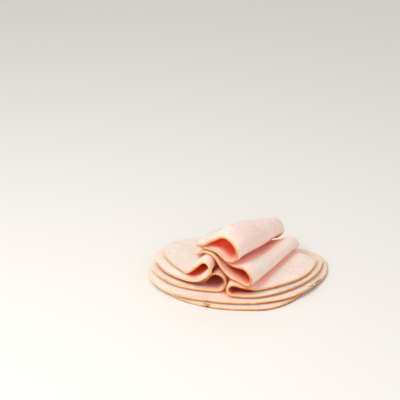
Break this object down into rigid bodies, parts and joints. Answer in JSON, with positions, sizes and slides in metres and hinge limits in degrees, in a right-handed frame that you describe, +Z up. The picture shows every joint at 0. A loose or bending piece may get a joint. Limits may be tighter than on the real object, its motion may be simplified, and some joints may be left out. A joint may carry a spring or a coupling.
{
  "type": "sliced turkey breast",
  "caption": "Loose pile of thin cooked turkey breast slices, some lying flat and some folded over into soft open rolls, with a pale pink face and a golden edge.",
  "frame": {"origin": "middle of the pile's plan, on the surface that it lies on", "axes": "+Z up, +X to the right along the pile's longest side, +Y away from the viewer"},
  "size_m": [0.1854, 0.1294, 0.0699],
  "materials": {
    "cooked_meat": "moist cooked meat"
  },
  "bodies": {
    "root": {"bottom_slice": "cooked_meat", "wide_slice": "cooked_meat", "left_fold_low": "cooked_meat", "left_fold_top": "cooked_meat", "right_fold": "cooked_meat", "front_roll": "cooked_meat", "top_roll": "cooked_meat"}
  },
  "joints": []
}
